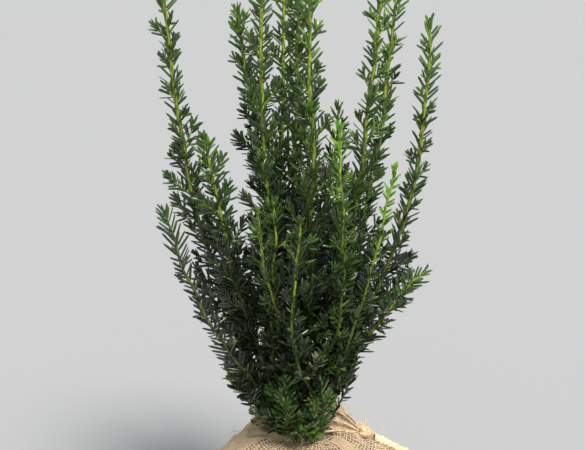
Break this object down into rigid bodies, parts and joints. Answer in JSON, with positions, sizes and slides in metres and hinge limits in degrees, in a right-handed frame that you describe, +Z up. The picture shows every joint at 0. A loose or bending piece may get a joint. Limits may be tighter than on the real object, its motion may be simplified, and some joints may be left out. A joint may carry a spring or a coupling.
{
  "type": "root-balled yew shrub",
  "caption": "Young upright yew with several tall needle-clad shoots rising from one short stem, standing on its sacking-wrapped root ball.",
  "frame": {"origin": "middle of the root ball's flat underside, on the ground", "axes": "+Z up, -Y the side the picture shows"},
  "size_m": [0.4179, 0.3511, 0.9805],
  "materials": {
    "sacking": "coarse woven jute round a ball of soil",
    "sacking_ties": "twisted, frayed jute",
    "bark": "rough, thinly flaking",
    "foliage": "leathery dark green needles, slightly glossy above",
    "fresh_foliage": "young yellow-green needles"
  },
  "bodies": {
    "root": {"bough_back": "bark", "bough_back_right": "bark", "bough_centre_left": "bark", "bough_centre_right": "bark", "bough_front_left": "bark", "bough_front_right": "bark", "bough_left": "bark", "bough_left_low": "bark", "bough_right": "bark", "bough_right_low": "bark", "cloth_band_back": "sacking_ties", "cloth_band_right": "sacking_ties", "cloth_knot": "sacking_ties", "cloth_tail": "sacking_ties", "root_ball": "sacking", "shoot_back": "foliage", "shoot_back_left": "foliage", "shoot_back_left_low": "foliage", "shoot_back_mid": "foliage", "shoot_back_right": "foliage", "shoot_back_right_low": "foliage", "shoot_back_right_tall": "foliage", "shoot_back_tall": "foliage", "shoot_centre_back": "foliage", "shoot_centre_left_slim": "foliage", "shoot_centre_left_tall": "foliage", "shoot_centre_right_tall": "foliage", "shoot_centre_tall": "foliage", "shoot_far_right": "foliage", "shoot_front": "foliage", "shoot_front_left": "foliage", "shoot_front_mid": "foliage", "shoot_front_right": "foliage", "shoot_left_inner": "foliage", "shoot_left_low": "foliage", "shoot_left_tall": "foliage", "shoot_mid_right": "foliage", "shoot_right_back_tall": "foliage", "shoot_right_fresh": "fresh_foliage", "shoot_right_low": "foliage", "shoot_right_low_back": "foliage", "shoot_right_tall": "foliage", "spray_back": "foliage", "spray_back_left": "foliage", "spray_back_right": "foliage", "spray_front": "foliage", "spray_front_left": "foliage", "spray_front_right": "foliage", "spray_left": "foliage", "spray_left_back": "foliage", "spray_left_front": "foliage", "spray_right": "foliage", "spray_right_back": "foliage", "spray_right_front": "foliage", "trunk": "bark"}
  },
  "joints": []
}
